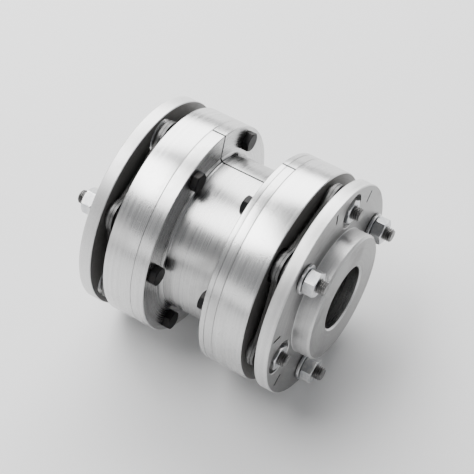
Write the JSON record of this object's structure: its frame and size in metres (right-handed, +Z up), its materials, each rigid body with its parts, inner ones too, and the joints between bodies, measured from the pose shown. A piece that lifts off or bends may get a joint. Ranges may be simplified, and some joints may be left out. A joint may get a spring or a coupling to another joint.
{
  "type": "disc coupling",
  "caption": "Flexible disc shaft coupling: two bored hubs, two scalloped disc packs, adapter rings and an axially split bolted spacer between them.",
  "frame": {"origin": "middle of the coupling, on the shaft axis", "axes": "+X along the shaft axis towards the right hub, +Z up, coupling lying on its rims"},
  "size_m": [0.1876, 0.16, 0.16],
  "materials": {
    "hub_steel": "fine turned, satin",
    "adapter_steel": "fine turned, bright",
    "spacer_steel": "fine turned, bright",
    "disc_steel": "rolled stainless sheet",
    "bolt_steel": "dark self-coloured steel",
    "zinc_plate": "bright zinc plate",
    "black_oxide": "black oxide, satin"
  },
  "bodies": {
    "spacer": {"spacer_front_half": "spacer_steel", "spacer_rear_half": "spacer_steel", "left_adapter_ring": "adapter_steel", "left_cap_screw_1": "black_oxide", "left_cap_screw_2": "black_oxide", "left_cap_screw_3": "black_oxide", "left_cap_screw_4": "black_oxide", "left_cap_screw_5": "black_oxide", "left_cap_screw_6": "black_oxide", "left_adapter_bolt_1": "bolt_steel", "left_adapter_bolt_2": "bolt_steel", "left_adapter_bolt_3": "bolt_steel", "left_adapter_washer_1": "zinc_plate", "left_adapter_washer_2": "zinc_plate", "left_adapter_washer_3": "zinc_plate", "left_adapter_nut_1": "zinc_plate", "left_adapter_nut_2": "zinc_plate", "left_adapter_nut_3": "zinc_plate", "right_adapter_ring": "adapter_steel", "right_cap_screw_1": "black_oxide", "right_cap_screw_2": "black_oxide", "right_cap_screw_3": "black_oxide", "right_cap_screw_4": "black_oxide", "right_cap_screw_5": "black_oxide", "right_cap_screw_6": "black_oxide", "right_adapter_bolt_1": "bolt_steel", "right_adapter_bolt_2": "bolt_steel", "right_adapter_bolt_3": "bolt_steel", "right_adapter_washer_1": "zinc_plate", "right_adapter_washer_2": "zinc_plate", "right_adapter_washer_3": "zinc_plate", "right_adapter_nut_1": "zinc_plate", "right_adapter_nut_2": "zinc_plate", "right_adapter_nut_3": "zinc_plate"},
    "left_inboard_discs": {"left_discs_inboard": "disc_steel"},
    "left_outboard_discs": {"left_discs_outboard": "disc_steel"},
    "left_hub_group": {"left_hub": "hub_steel", "left_hub_bolt_1": "bolt_steel", "left_hub_bolt_2": "bolt_steel", "left_hub_bolt_3": "bolt_steel", "left_hub_washer_1": "zinc_plate", "left_hub_washer_2": "zinc_plate", "left_hub_washer_3": "zinc_plate", "left_hub_nut_1": "zinc_plate", "left_hub_nut_2": "zinc_plate", "left_hub_nut_3": "zinc_plate"},
    "right_inboard_discs": {"right_discs_inboard": "disc_steel"},
    "right_outboard_discs": {"right_discs_outboard": "disc_steel"},
    "right_hub_group": {"right_hub": "hub_steel", "right_hub_bolt_1": "bolt_steel", "right_hub_bolt_2": "bolt_steel", "right_hub_bolt_3": "bolt_steel", "right_hub_washer_1": "zinc_plate", "right_hub_washer_2": "zinc_plate", "right_hub_washer_3": "zinc_plate", "right_hub_nut_1": "zinc_plate", "right_hub_nut_2": "zinc_plate", "right_hub_nut_3": "zinc_plate"}
  },
  "joints": [
    {"name": "left_tilt_about_y", "type": "hinge", "parent": "spacer", "child": "left_inboard_discs", "pos_m": [-0.0617, 0, 0], "axis": [0, 1, 0], "range_deg": [-0.5, 0.5], "stiffness_Nm_per_rad": 300, "deforming": ["left_discs_inboard", "left_discs_outboard"]},
    {"name": "left_tilt_about_z", "type": "hinge", "parent": "left_inboard_discs", "child": "left_outboard_discs", "pos_m": [-0.0617, 0, 0], "axis": [0, 0, 1], "range_deg": [-0.5, 0.5], "stiffness_Nm_per_rad": 300, "deforming": ["left_discs_inboard", "left_discs_outboard"]},
    {"name": "left_end_float", "type": "slide", "parent": "left_outboard_discs", "child": "left_hub_group", "axis": [-1, 0, 0], "range_m": [-0.0015, 0.0015], "stiffness_N_per_m": 80000, "deforming": ["left_discs_inboard", "left_discs_outboard"]},
    {"name": "right_tilt_about_y", "type": "hinge", "parent": "spacer", "child": "right_inboard_discs", "pos_m": [0.0617, 0, 0], "axis": [0, 1, 0], "range_deg": [-0.5, 0.5], "stiffness_Nm_per_rad": 300, "deforming": ["right_discs_inboard", "right_discs_outboard"]},
    {"name": "right_tilt_about_z", "type": "hinge", "parent": "right_inboard_discs", "child": "right_outboard_discs", "pos_m": [0.0617, 0, 0], "axis": [0, 0, 1], "range_deg": [-0.5, 0.5], "stiffness_Nm_per_rad": 300, "deforming": ["right_discs_inboard", "right_discs_outboard"]},
    {"name": "right_end_float", "type": "slide", "parent": "right_outboard_discs", "child": "right_hub_group", "axis": [1, 0, 0], "range_m": [-0.0015, 0.0015], "stiffness_N_per_m": 80000, "deforming": ["right_discs_inboard", "right_discs_outboard"]}
  ]
}
